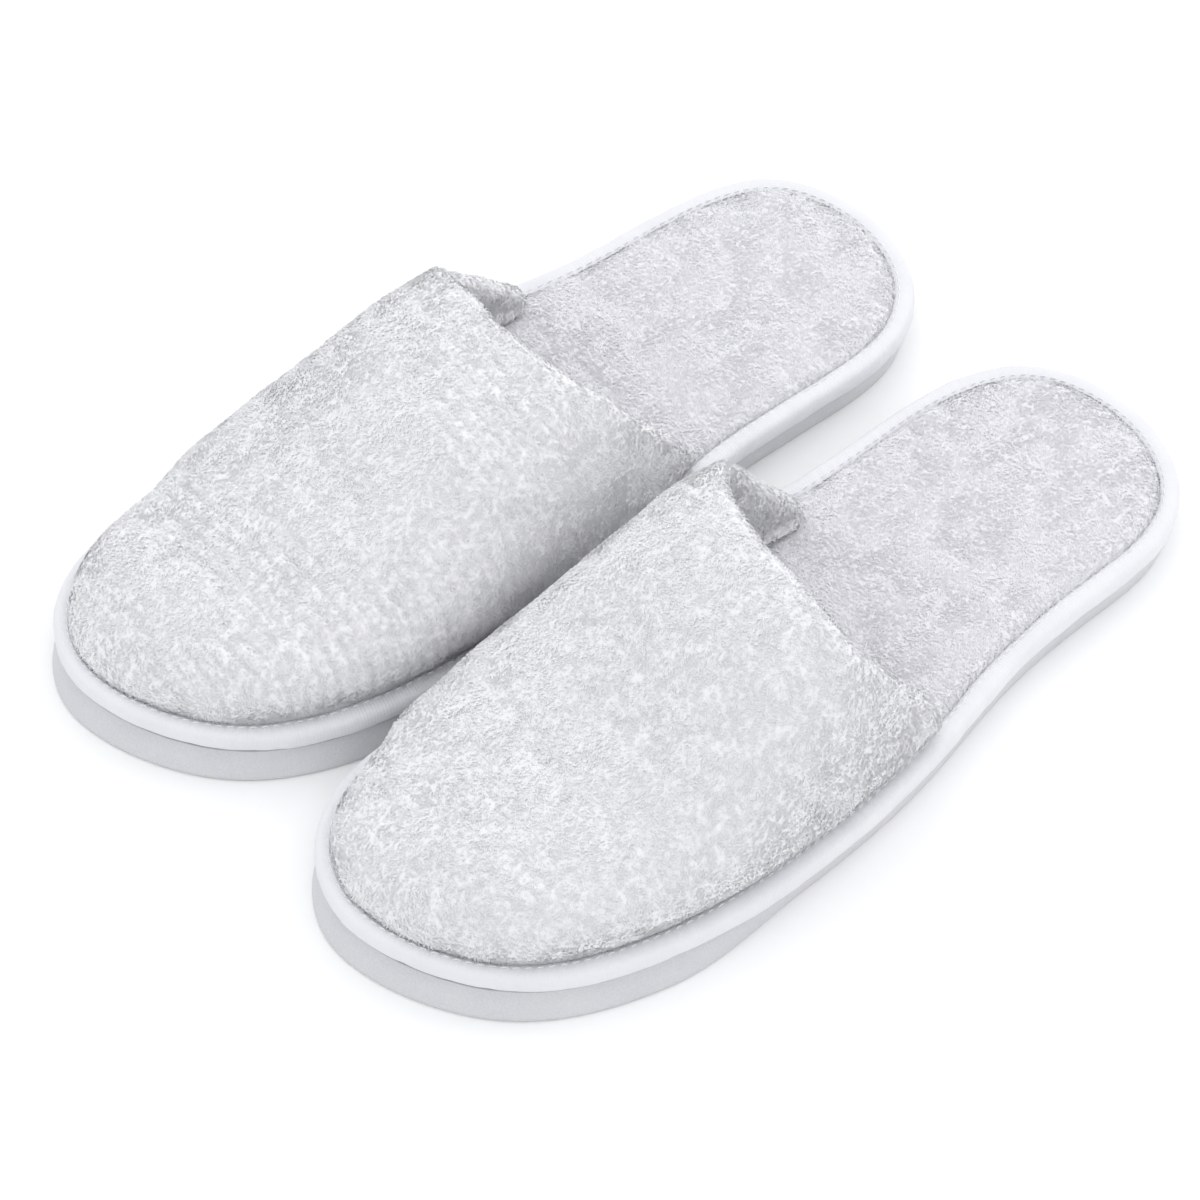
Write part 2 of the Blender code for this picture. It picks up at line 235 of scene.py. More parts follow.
class Sole:
    """The outline as a ring of points, toe tip, plus side, heel tip, minus side, with the spine
    point that each one looks in to. Points of the two sides share their spine point."""

    def __init__(self, splay):
        plus = [(half * MM, share * LENGTH) for half, share in zip(PLUS_HALF_WIDTHS, STATIONS)]
        minus = [(-half * MM, share * LENGTH) for half, share in zip(MINUS_HALF_WIDTHS, STATIONS)]
        corners = [(TOE_TIP_OFFSET, 0.0)] + plus + [(0.0, LENGTH)] + minus[::-1]
        fine = closed_spline(np.array(corners))
        fine = np.roll(fine, -int(np.argmin(fine[:, 1])), 0)
        fine[:, 0] += curve_through(splay, fine[:, 1] / MM) * MM
        heel = int(np.argmax(fine[:, 1]))
        plus = evenly(fine[: heel + 1], SIDE_POINTS + 1)
        minus = evenly(np.vstack([fine[heel:], fine[:1]])[::-1], SIDE_POINTS + 1)
        self.plus, self.minus = plus, minus
        middle = (plus + minus) / 2
        along = np.clip(middle[:, 1], *SPINE_ENDS)
        spine = np.stack([np.interp(along, middle[:, 1], middle[:, 0]), along], axis=1)
        self.edge = np.vstack([plus[:-1], minus[:0:-1]])
        self.spine = np.vstack([spine[:-1], spine[:0:-1]])
        tangent = np.roll(self.edge, -1, 0) - np.roll(self.edge, 1, 0)
        tangent /= np.linalg.norm(tangent, axis=1)[:, None]
        self.inward = np.stack([-tangent[:, 1], tangent[:, 0]], axis=1)
        self.run = run_along(np.vstack([self.edge, self.edge[:1]]))
        self.count = len(self.edge)

    def area(self):
        x, y = self.edge.T
        return abs(np.sum(x * np.roll(y, -1) - np.roll(x, -1) * y)) / 2

    def ring(self, distance, height):
        """The outline moved in by a distance, at a height. Either may differ along it."""
        flat = self.edge + self.inward * np.reshape(np.broadcast_to(distance, self.count), (-1, 1))
        return np.column_stack([flat, np.broadcast_to(height, self.count)])

    def inner_ring(self, share, height):
        """A ring between the one at STRAIGHT_INSET, at share 0, and the spine, at share 1."""
        flat = self.ring(STRAIGHT_INSET, 0)[:, :2]
        flat = flat + (self.spine - flat) * share
        return np.column_stack([flat, np.broadcast_to(height, self.count)])

    def sides(self, distance):
        """The plus side, the minus side and the toe's tip, moved in by a distance."""
        count = SIDE_POINTS
        ring = self.ring(distance, 0)[:, :2]
        plus = ring[: count + 1]
        minus = np.vstack([ring[count:], ring[:1]])[::-1]
        return plus, minus, ring[int(np.argmin(ring[:, 1]))]


# ---------------------------------------------------------------- meshes

def mesh_of(name, points, quads, triangles=()):
    quads = np.asarray(quads, np.int32).reshape(-1, 4)
    triangles = np.asarray(triangles, np.int32).reshape(-1, 3)
    mesh = bpy.data.meshes.new(name)
    mesh.vertices.add(len(points))
    mesh.vertices.foreach_set("co", np.asarray(points, np.float32).ravel())
    corners = np.concatenate([quads.ravel(), triangles.ravel()])
    mesh.loops.add(len(corners))
    mesh.loops.foreach_set("vertex_index", corners)
    starts = np.concatenate([
        np.arange(len(quads)) * 4,
        len(quads) * 4 + np.arange(len(triangles)) * 3,
    ])
    mesh.polygons.add(len(starts))
    mesh.polygons.foreach_set("loop_start", starts.astype(np.int32))
    mesh.update(calc_edges=True)
    return mesh


def ring_quads(rows, count, closed_profile=False):
    """Quads of a stack of closed rings, facing out when the rings run anticlockwise upwards."""
    row = np.arange(rows if closed_profile else rows - 1)[:, None]
    k = np.arange(count)[None, :]
    after = (k + 1) % count
    above = (row + 1) % rows
    quads = [row * count + k, row * count + after, above * count + after, above * count + k]
    return np.stack(quads, axis=-1).reshape(-1, 4)


def ring_mesh(name, rings, closed_profile=False):
    quads = ring_quads(len(rings), len(rings[0]), closed_profile)
    return mesh_of(name, np.array(rings).reshape(-1, 3), quads)


def grid_quads(rows, columns, first=0):
    row = np.arange(rows - 1)[:, None]
    k = np.arange(columns - 1)[None, :]
    low = first + row * columns + k
    return np.stack([low, low + 1, low + columns + 1, low + columns], axis=-1).reshape(-1, 4)


def tidy(mesh, distance=1e-6):
    """Merges the points that coincide at poles and spines, and turns the faces outwards."""
    work = bmesh.new()
    work.from_mesh(mesh)
    bmesh.ops.remove_doubles(work, verts=work.verts, dist=distance)
    bmesh.ops.dissolve_degenerate(work, edges=work.edges, dist=1e-7)
    bmesh.ops.recalc_face_normals(work, faces=work.faces)
    work.to_mesh(mesh)
    work.free()
    return mesh


def coordinates(mesh):
    flat = np.zeros(len(mesh.vertices) * 3, np.float32)
    mesh.vertices.foreach_get("co", flat)
    return flat.reshape(-1, 3).astype(float)


def normals_of(mesh):
    flat = np.zeros(len(mesh.vertices) * 3, np.float32)
    mesh.vertices.foreach_get("normal", flat)
    return flat.reshape(-1, 3).astype(float)


def move_out(mesh, distance):
    """Moves every point along its normal."""
    points = coordinates(mesh) + normals_of(mesh) * distance[:, None]
    mesh.vertices.foreach_set("co", points.astype(np.float32).ravel())
    mesh.update()


BROAD_LUMPS = 16 * MM
SMALL_LUMPS = 7 * MM
CURL_WARP = 2.6 * MM
CURLS = 1.5 * MM
GRAIN = 0.8 * MM


def ground_of_pile(points, seed):
    """The uneven ground between the tufts: soft lumps, curls and fine grain."""
    lumps = 0.35 * noise(points, BROAD_LUMPS, seed) + 0.25 * noise(points, SMALL_LUMPS, seed + 1)
    warp = np.stack([noise(points, CURL_WARP, seed + k) for k in (2, 3, 4)], axis=1)
    curls = 1 - np.abs(noise(points + warp * 0.9 * MM, CURLS, seed + 5)) * 2
    return (0.7 * lumps + 0.05 * curls + 0.02 * noise(points, GRAIN, seed + 6)) * MM


# ---------------------------------------------------------------- materials

REST = "rest_mm"


class Shading:
    """A material and its node tree. Values of inputs may be numbers, colours or other sockets."""

    def __init__(self, name):
        self.material = bpy.data.materials.new(name)
        self.material.use_nodes = True
        self.tree = self.material.node_tree
        self.shader = self.tree.nodes["Principled BSDF"]

    def set(self, node, inputs):
        for name, value in inputs.items():
            if isinstance(value, bpy.types.NodeSocket):
                self.tree.links.new(value, node.inputs[name])
            else:
                node.inputs[name].default_value = value

    def node(self, kind, inputs, **settings):
        node = self.tree.nodes.new(kind)
        for name, value in settings.items():
            setattr(node, name, value)
        self.set(node, inputs)
        return node

    def finish(self, colour, roughness, specular=None, sheen=None, sheen_roughness=None):
        inputs = {
            "Base Color": colour, "Roughness": roughness, "Specular IOR Level": specular,
            "Sheen Weight": sheen, "Sheen Roughness": sheen_roughness,
        }
        self.set(self.shader, {name: value for name, value in inputs.items() if value is not None})
        return self.material

    def rest_place(self):
        """The point's place at rest in millimetres, which a bent piece keeps."""
        return self.node("ShaderNodeAttribute", {}, attribute_name=REST).outputs["Vector"]

    def noise(self, place, size_mm, detail=3.0, roughness=0.55):
        inputs = {"Vector": place, "Scale": 1.0 / size_mm, "Detail": detail, "Roughness": roughness}
        return self.node("ShaderNodeTexNoise", inputs).outputs["Fac"]

    def wave(self, place, direction, inputs):
        inputs = {"Vector": place, **inputs}
        return self.node("ShaderNodeTexWave", inputs, bands_direction=direction).outputs["Fac"]

    def ramp(self, value, stops):
        node = self.node("ShaderNodeValToRGB", {"Fac": value})
        for element, (at, colour) in zip(node.color_ramp.elements, stops):
            element.position = at
            element.color = (*colour, 1.0)
        return node.outputs["Color"]

    def bump(self, height, distance_mm, strength):
        """Adds to the relief that the shader has already."""
        before = [link.from_socket for link in self.shader.inputs["Normal"].links]
        inputs = {"Height": height, "Distance": distance_mm * MM, "Strength": strength}
        node = self.node("ShaderNodeBump", inputs)
        if before:
            self.set(node, {"Normal": before[0]})
        self.set(self.shader, {"Normal": node.outputs["Normal"]})

    def math(self, operation, first, second):
        node = self.node("ShaderNodeMath", {}, operation=operation)
        for socket, value in zip(node.inputs, (first, second)):
            if isinstance(value, float):
                socket.default_value = value
            else:
                self.tree.links.new(value, socket)
        return node.outputs["Value"]


def plush_ground(name, low, high, size_mm=1.1):
    """The knitted ground and the shaded depth of the pile between its tufts."""
    look = Shading(name)
    place = look.rest_place()
    curls = look.noise(place, size_mm, detail=4.0, roughness=0.65)
    look.bump(look.noise(place, 0.45, detail=2.0), 0.5, 0.3)
    return look.finish(look.ramp(curls, ((0.32, low), (0.68, high))), 0.96, 0.15, 0.12, 0.6)


def tuft_material(name, colour):
    return Shading(name).finish((*colour, 1.0), 0.92, 0.05, 0.3, 0.5)


def tape_material():
    """Knitted tape: fine ribs across it, read from its own length and width."""
    look = Shading("knitted_tape")
    place = look.rest_place()
    uv = look.node("ShaderNodeUVMap", {}, uv_map="tape_mm").outputs["UV"]
    along = {"Scale": 0.32, "Distortion": 0.6, "Detail": 1.0, "Detail Scale": 1.5}
    ribs = look.wave(uv, "X", along)
    rows = look.wave(uv, "Y", {"Scale": 0.5, "Distortion": 0.4})
    look.bump(look.math("ADD", ribs, look.math("MULTIPLY", ribs, rows)), 0.1, 0.3)
    look.bump(look.noise(place, 0.3, detail=2.0), 0.12, 0.4)
    stops = ((0.3, (0.75, 0.755, 0.78)), (0.7, (0.79, 0.793, 0.815)))
    return look.finish(look.ramp(look.noise(place, 14.0), stops), 0.82, 0.25, 0.2)


def foam_material(name, low, high, grain_mm, depth_mm, painted_shade_from_mm=None):
    """Foam: small pale cells in a slightly mottled skin, darkened by painted shade under the tape's
    edge above a height in millimetres if one is given."""
    look = Shading(name)
    place = look.rest_place()
    cells = look.node("ShaderNodeTexVoronoi", {"Vector": place, "Scale": 1.0 / grain_mm})
    grain = look.noise(place, grain_mm * 0.8)
    mottle = look.math("MULTIPLY", look.noise(place, 22.0), 0.4)
    mix = look.math("ADD", look.math("MULTIPLY", grain, 0.6), mottle)
    colour = look.ramp(mix, ((0.35, low), (0.65, high)))
    # Painted shade: the top of the foam wall darkens above the given height, where the tape's overhang
    # shades it.
    if painted_shade_from_mm:
        level = look.node("ShaderNodeSeparateXYZ", {"Vector": place}).outputs["Z"]
        height = look.math("ADD", level, look.math("MULTIPLY", look.noise(place, 6.0), 0.5))
        shade = look.math("SUBTRACT", height, painted_shade_from_mm)
        dark = look.ramp(shade, ((0.0, (1.0, 1.0, 1.0)), (0.7, (0.3, 0.3, 0.32))))
        inputs = {"Factor": 1.0, "A": colour, "B": dark}
        blend = look.node("ShaderNodeMix", inputs, data_type="RGBA", blend_type="MULTIPLY")
        colour = blend.outputs["Result"]
    look.bump(cells.outputs["Distance"], depth_mm, 0.5)
    look.bump(grain, depth_mm, 0.5)
    return look.finish(colour, 0.62, 0.35)


def thread_material():
    look = Shading("sewing_thread")
    twist = look.wave(look.rest_place(), "DIAGONAL", {"Scale": 1.4})
    look.bump(twist, 0.08, 0.6)
    return look.finish(look.ramp(twist, ((0.2, (0.82, 0.82, 0.84)), (0.8, (0.9, 0.9, 0.92)))), 0.6)


def board_material():
    look = Shading("fibre_board")
    fibres = look.noise(look.rest_place(), 0.9, detail=5.0, roughness=0.7)
    look.bump(fibres, 0.15, 0.5)
    stops = ((0.3, (0.6, 0.58, 0.53)), (0.7, (0.72, 0.7, 0.66)))
    return look.finish(look.ramp(fibres, stops), 0.88)


def make_materials():
    return {
        "vamp": [plush_ground("plush_vamp", (0.83, 0.83, 0.848), (0.86, 0.86, 0.877))],
        "cover": [plush_ground("plush_insole", (0.785, 0.783, 0.812), (0.815, 0.813, 0.842), 0.9)],
        # The lining's ground is paler than the vamp's: painted light for the inside of the throat, which
        # lies in shade.
        "lining": [plush_ground("plush_lining", (0.92, 0.92, 0.93), (0.945, 0.945, 0.955))],
        "vamp_tufts": [
            tuft_material("tuft_bright", (0.93, 0.93, 0.947)),
            tuft_material("tuft_plain", (0.922, 0.924, 0.941)),
            tuft_material("tuft_shade", (0.91, 0.913, 0.93)),
        ],
        # The lining's tufts are paler than the vamp's too: painted light for the shaded inside of the
        # throat.
        "lining_tufts": [
            tuft_material("lining_tuft_bright", (0.985, 0.985, 0.99)),
            tuft_material("lining_tuft_plain", (0.98, 0.98, 0.985)),
            tuft_material("lining_tuft_shade", (0.97, 0.97, 0.978)),
        ],
        "cover_tufts": [
            tuft_material("insole_tuft_bright", (0.898, 0.894, 0.925)),
            tuft_material("insole_tuft_plain", (0.888, 0.885, 0.917)),
            tuft_material("insole_tuft_shade", (0.872, 0.87, 0.902)),
        ],
        "tape": [tape_material()],
        # 8.75: the height in millimetres above which painted shade darkens the outsole's top edge under
        #       the tape.
        "eva": [foam_material("eva_foam_skin", (0.59, 0.59, 0.615), (0.67, 0.67, 0.685), 0.7, 0.1, 8.75)],
        "foam": [foam_material("soft_foam_cells", (0.78, 0.77, 0.71), (0.88, 0.87, 0.82), 1.1, 0.3)],
        "thread": [thread_material()],
        "board": [board_material()],
    }


# ---------------------------------------------------------------- pieces

class Slipper:
    """Makes a slipper's pieces in place and ties them to its bodies."""

    def __init__(self, side, materials):
        joint = next(j for j in frame["joints"] if j["name"] == f"{side}_sole_flex")
        pivot = Vector(joint["pos_m"])
        self.side = side
        self.look = LOOKS[side]
        self.origin = np.array([pivot.x, pivot.y - FLEX_AT, 0.0])
        self.pivot = pivot
        self.materials = materials
        self.sole = Sole(self.look["splay"])

    def seed(self, piece):
        return self.look["seed"] + SEED_STEPS[piece]

    def add(self, mesh, name, material, slot, bends, replaces=()):
        """Puts a finished mesh in the row frame and says what it rides on and stands for."""
        points = coordinates(mesh)
        attribute = mesh.attributes.new(REST, "FLOAT_VECTOR", "POINT")
        attribute.data.foreach_set("vector", (points / MM).astype(np.float32).ravel())
        mesh.vertices.foreach_set("co", (points + self.origin).astype(np.float32).ravel())
        mesh.update()
        for one in self.materials[material]:
            mesh.materials.append(one)
        mesh.shade_smooth()
        piece = bpy.data.objects.new(f"{self.side}_{name}", mesh)
        bpy.context.scene.collection.objects.link(piece)
        if bends:
            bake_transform(piece)
        else:
            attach(piece, f"{self.side}_front")
        if replaces:
            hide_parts(*[f"{self.side}_{node}" for node in replaces])
        return piece

    def add_layer(self, mesh, name, material, slot):
        """Adds a layer of the sole, which stands for a front and a rear node."""
        return self.add(mesh, name, material, slot, True, (f"{name}_front", f"{name}_rear"))


# The foam outsole

TOE_FLARE = 2.6 * MM
WAIST_INSET = 2.0 * MM
FLARE_ENDS = (60 * MM, 108 * MM)
FLARE_TOWARDS = (0.77, -0.63)
FLARE_TURN = (-0.35, 0.65)
TOE_ENDS = (4 * MM, 48 * MM)
TOE_RISE = 0.05
TREAD_DEPTH = 0.7 * MM
TREAD_PITCH = 4.2 * MM
TREAD_WAVE = 1.6 * MM
TREAD_WAVE_RUN = 6 * MM
TREAD_BORDER = (5 * MM, 7 * MM)
UNDERSIDE_SHARES = np.linspace(1, 0, 48)
UNDERSIDE_INSETS = (10, 8, 6, 4.5, 3.2)

# The wall's rounded foot and top edge: inset, with the height above the floor or below the top
WALL_FOOT = ((1.2, 0.0), (0.45, 0.12), (0.1, 0.5), (0.0, 1.1))
WALL_TOP = ((0.05, 1.3), (0.18, 0.95), (0.5, 0.55), (1.0, 0.3), (1.7, 0.2), (4.0, 0.2))
WALL_SHARES = np.linspace(0.12, 0.88, 11)
WALL_BULGE = 0.35 * MM
WALL_WAVER = 0.16 * MM


def tread_height(points, inset):
    """Wavy bars across the underside, with a flat border round them."""
    wave = points[:, 1] + TREAD_WAVE * np.sin(points[:, 0] / TREAD_WAVE_RUN)
    bars = 0.5 + 0.5 * np.cos(2 * math.pi * wave / TREAD_PITCH)
    return TREAD_DEPTH * smooth_step(bars, 0.35, 0.65) * smooth_step(inset, *TREAD_BORDER)


def outsole_walls(sole):
    """How far in the wall's foot and its top edge stand, and how much the toe is raised."""
    along = sole.edge[:, 1]
    behind = smooth_step(along, *FLARE_ENDS)
    flare = TOE_FLARE * smooth_step(-sole.inward @ FLARE_TOWARDS, *FLARE_TURN)
    toe = 1 - smooth_step(along, *TOE_ENDS)
    bottom = -flare + (flare + WAIST_INSET) * behind
    top = 0.7 * MM + 0.5 * MM * behind + 0.7 * MM * toe
    return bottom, top, 1 + TOE_RISE * toe


def make_outsole(slipper):
    sole = slipper.sole
    bottom, top, rise = outsole_walls(sole)
    half = np.linalg.norm(sole.spine - sole.edge, axis=1)
    rings = [sole.inner_ring(share, 0) for share in UNDERSIDE_SHARES]
    insets = [STRAIGHT_INSET + (half - STRAIGHT_INSET) * share for share in UNDERSIDE_SHARES]
    for inset in UNDERSIDE_INSETS:
        rings.append(sole.ring(inset * MM, 0))
        insets.append(np.full(sole.count, inset * MM))
    under = len(rings)
    for step, height in WALL_FOOT:
        rings.append(sole.ring(bottom + step * MM, height * MM))
    foot_height, top_depth = WALL_FOOT[-1][1] * MM, (WALL_FOOT[-1][1] + 1.5) * MM
    for share in WALL_SHARES:
        bulge = WALL_BULGE * math.sin(math.pi * share)
        height = foot_height + share * (OUTSOLE_TOP - top_depth)
        rings.append(sole.ring(bottom + (top - bottom) * share - bulge, height))
    for step, depth in WALL_TOP:
        rings.append(sole.ring(top + step * MM, OUTSOLE_TOP - depth * MM))
    for share in (0, 0.35, 0.7, 1):
        rings.append(sole.inner_ring(share, OUTSOLE_TOP - WALL_TOP[-1][1] * MM))
    points = np.array(rings)
    points[:, :, 2] *= rise
    for row in range(under):
        points[row, :, 2] += tread_height(points[row], insets[row])
    mesh = ring_mesh("outsole", points)
    tidy(mesh)
    points = coordinates(mesh)
    side = smooth_step(points[:, 2], 0.8 * MM, 2.5 * MM)
    side *= 1 - smooth_step(points[:, 2], 7 * MM, 9 * MM)
    move_out(mesh, side * WALL_WAVER * noise(points, 9 * MM, slipper.seed("outsole")))
    slipper.add_layer(mesh, "outsole", "eva", "eva_foam")


# The board and the pad under the cover

BOARD_FOOT_INSET = 5.0 * MM
BOARD_RIM_INSET = 1.9 * MM
PAD_RIM_INSET = 2.0 * MM
LAYER_GAP = 0.3 * MM
FLAT_SHARES = (0, 0.3, 0.6, 1)

# In millimetres: how far in the plush starts to rise beside the vamp, and how much further out it
# does behind it
CROWN_INSET = 12.8
CROWN_INSET_LESS = 7.4
CROWN_CHANGE = (-7 * MM, 3 * MM)


def crown_start(slipper):
    """How far in the plush starts to rise: just inside the tape, or inside the vamp's walls."""
    plus_end, minus_end = (end * MM for end in slipper.look["feet"])
    sole = slipper.sole
    end = np.where(np.arange(sole.count) < SIDE_POINTS, plus_end, minus_end)
    open_back = smooth_step(sole.edge[:, 1], end + CROWN_CHANGE[0], end + CROWN_CHANGE[1])
    return (CROWN_INSET - CROWN_INSET_LESS * open_back) * MM


def make_board(slipper):
    rings = [slipper.sole.inner_ring(share, TAPE_BOTTOM) for share in FLAT_SHARES[::-1]]
    rings.append(slipper.sole.ring(BOARD_FOOT_INSET, TAPE_BOTTOM))
    rings.append(slipper.sole.ring(BOARD_FOOT_INSET, BOARD_BOTTOM))
    rings.append(slipper.sole.ring(BOARD_RIM_INSET, BOARD_BOTTOM))
    rings.append(slipper.sole.ring(BOARD_RIM_INSET, BOARD_TOP))
    rings += [slipper.sole.inner_ring(share, BOARD_TOP) for share in FLAT_SHARES]
    mesh = ring_mesh("board", rings)
    tidy(mesh)
    slipper.add_layer(mesh, "insole_board", "board", "fibre_board")


def crown_height(start, inset, profile):
    """The crown's height at an inset, from a profile that begins where the crown starts."""
    steps, heights = np.array(profile, float).T * MM
    return np.interp(inset - start, steps, heights)


# Heights of the crown at distances in from its start, in millimetres
PAD_PROFILE = ((-3, 13.4), (0, 13.5), (5, 15.1), (10, 15.8), (40, 15.8))
COVER_PROFILE = (
    (-3, 14.2), (0, 14.5), (0.35, 15.7), (1.2, 16.7), (2.6, 17.4), (5, 17.9), (10, 18.3), (30, 18.7),
)
PAD_INSETS = (2.2, 4, 5, 6.5, 8, 10)
COVER_UNDER_INSETS = (2.2, 4, 6.5, 10)
COVER_INSETS = (
    2.0, 3.2, 4.2, 4.9, 5.4, 5.6, 5.8, 6.1, 6.5, 7.0, 7.6, 8.2, 8.9, 9.6, 10.3, 11.0, 11.5,
)


def crowned_rings(sole, start, profile, insets, shares):
    """Rings over the whole sole whose height is the crown's at their distance from the edge."""
    half = np.linalg.norm(sole.spine - sole.edge, axis=1)
    rings = []
    for inset in insets:
        distance = np.full(sole.count, inset * MM)
        rings.append(sole.ring(distance, crown_height(start, distance, profile)))
    for share in shares:
        distance = STRAIGHT_INSET + (half - STRAIGHT_INSET) * share
        rings.append(sole.inner_ring(share, crown_height(start, distance, profile)))
    return rings


def make_pad(slipper):
    start = crown_start(slipper)
    rings = [slipper.sole.inner_ring(share, BOARD_TOP + LAYER_GAP) for share in FLAT_SHARES[::-1]]
    rings.append(slipper.sole.ring(PAD_RIM_INSET, BOARD_TOP + LAYER_GAP))
    rings += crowned_rings(slipper.sole, start, PAD_PROFILE, PAD_INSETS, np.linspace(0, 1, 10))
    mesh = ring_mesh("pad", rings)
    tidy(mesh)
    piece = slipper.add_layer(mesh, "insole_pad", "foam", "soft_foam")


def make_cover(slipper):
    start = crown_start(slipper)
    under_profile = np.array(PAD_PROFILE, float)
    under_profile[:, 1] += LAYER_GAP / MM
    rings = crowned_rings(slipper.sole, start, under_profile, COVER_UNDER_INSETS, (0, 0.5, 1))[::-1]
    rings += crowned_rings(slipper.sole, start, COVER_PROFILE, COVER_INSETS, np.linspace(0, 1, 66))
    mesh = ring_mesh("cover", rings)
    tidy(mesh)
    points = coordinates(mesh)
    top = smooth_step(normals_of(mesh)[:, 2], 0.1, 0.6) * smooth_step(points[:, 2], 14.6 * MM, 16.4 * MM)
    move_out(mesh, top * ground_of_pile(points, slipper.seed("cover")))
    piece = slipper.add_layer(mesh, "insole_cover", "cover", "plush")
    slipper.sole.area()
    return piece


# The knitted tape round the edge

# Its section in millimetres, inset and height, round the outside and back along the inside
TAPE_SECTION = (
    (5.2, 10.3), (3.0, 10.3), (1.6, 10.25), (0.8, 10.1), (0.2, 10.1), (-0.25, 10.35), (-0.5, 10.9),
    (-0.6, 11.8), (-0.6, 12.8), (-0.5, 13.7), (-0.3, 14.5), (0.0, 15.2), (0.55, 15.75), (1.3, 16.1),
    (2.2, 16.3), (3.1, 16.3), (4.0, 16.1), (4.9, 15.7), (5.6, 15.2), (5.9, 14.8),
    (4.8, 14.8), (3.2, 15.1), (1.8, 15.0), (0.7, 14.0), (0.3, 12.8), (0.8, 11.6), (2.0, 10.9), (4.0, 10.8),
)
TAPE_ROWS = 44
TAPE_BULGE = 0.55
TAPE_BULGE_RISE = (60 * MM, 95 * MM)
TAPE_BULGE_FALL = (126 * MM, 146 * MM)
TAPE_IN_AT_TOE = 0.8
TAPE_UP_AT_TOE = 0.5
STITCH_DRAW = 0.16


def tape_rings(slipper, section):
    """The tape's section carried round the sole, drawn in a little at each stitch."""
    seed = slipper.seed("tape")
    run = slipper.sole.run[:-1]
    rings = []
    sew = 0.5 + 0.5 * np.cos(2 * math.pi * run / STITCH_PITCH)
    drift = noise(np.column_stack([run, 0 * run, 0 * run]), 11 * MM, seed)
    waver = noise(np.column_stack([run, 0 * run, 0 * run]), 3.5 * MM, seed + 1)
    low, high = section[:, 1].min(), section[:, 1].max()
    along = slipper.sole.edge[:, 1]
    toe = 1 - smooth_step(along, *TOE_ENDS)
    bulge = TAPE_BULGE * smooth_step(along, *TAPE_BULGE_RISE) * (1 - smooth_step(along, *TAPE_BULGE_FALL))
    for inset, height in section:
        upper = np.clip((height - low) / (high - low), 0, 1)
        inner = np.clip(inset / 4.0, 0, 1) * (upper > 0.7)
        outer = 1 - smooth_step(inset, 0.3, 2.5)
        distance = inset + outer * (TAPE_IN_AT_TOE * toe - bulge - 0.1 * waver - 0.12 * drift)
        level = height + upper * (0.16 * drift + 0.06 * waver)
        level = level - inner * STITCH_DRAW * sew * (1 + 0.4 * waver) + (1 - upper) * TAPE_UP_AT_TOE * toe
        rings.append(slipper.sole.ring(distance * MM, level * MM))
    return rings


def smooth_section(section, count):
    """A closed section rounded between its points."""
    fine = closed_spline(np.array(section, float))
    return evenly(np.vstack([fine, fine[:1]]), count + 1)[:-1]


def set_tape_uv(mesh, rows, columns, run, section):
    """Length along the tape and across it, in millimetres."""
    across = run_along(np.vstack([section, section[:1]]))
    layer = mesh.uv_layers.new(name="tape_mm")
    row = np.arange(rows)[:, None]
    k = np.arange(columns)[None, :]
    before, after = run[k] + 0 * row, run[k + 1] + 0 * row
    low, high = across[row] + 0 * k, across[row + 1] + 0 * k
    u = np.stack([before, after, after, before], axis=-1) / MM
    v = np.stack([low, low, high, high], axis=-1)
    layer.data.foreach_set("uv", np.stack([u, v], axis=-1).astype(np.float32).ravel())


def make_tape(slipper):
    sole = slipper.sole
    section = smooth_section(TAPE_SECTION, TAPE_ROWS)
    mesh = ring_mesh("tape", tape_rings(slipper, section), closed_profile=True)
    set_tape_uv(mesh, TAPE_ROWS, sole.count, sole.run, section)
    mesh.flip_normals()
    piece = slipper.add_layer(mesh, "binding", "tape", "binding_tape")


# The stitches along the tape's inner edge

STITCH_PITCH = 3.4 * MM
STITCH_LENGTH = 2.5 * MM
STITCH_INSET = 4.1 * MM
STITCH_HEIGHT = 16.05 * MM
STITCH_RADIUS = 0.24 * MM
STITCH_ARCH = 0.28 * MM
STITCH_SINK = 0.12 * MM
STITCH_SLANT = 0.3 * MM
STITCH_SIDES = 6
STITCH_STATIONS = 7


def stitch_tube(middle, run, ring, inward):
    """The rings of points of one stitch, whose middle is at a length along the sole's run."""
    shares = np.linspace(-0.5, 0.5, STITCH_STATIONS)
    at = middle + shares * STITCH_LENGTH
    line = np.stack([np.interp(at, run, ring[:, k]) for k in range(3)], axis=1)
    line[:, 2] += STITCH_ARCH * np.cos(shares * math.pi * 1.25) - STITCH_SINK
    across = np.stack([np.interp(middle, run, inward[:, k]) for k in (0, 1)])
    across = np.append(across / np.linalg.norm(across), 0)
    line += across * STITCH_SLANT * shares[:, None]
    radius = STITCH_RADIUS * np.sqrt(np.clip(1 - (2 * shares * 0.96) ** 4, 0.05, 1))
    turns = np.arange(STITCH_SIDES) * 2 * math.pi / STITCH_SIDES
    spread = np.cos(turns)[:, None] * across + np.sin(turns)[:, None] * np.array([0, 0, 1.0])
    tube = line[:, None, :] + radius[:, None, None] * spread[None]
    return np.vstack([tube.reshape(-1, 3), line[:1], line[-1:]])


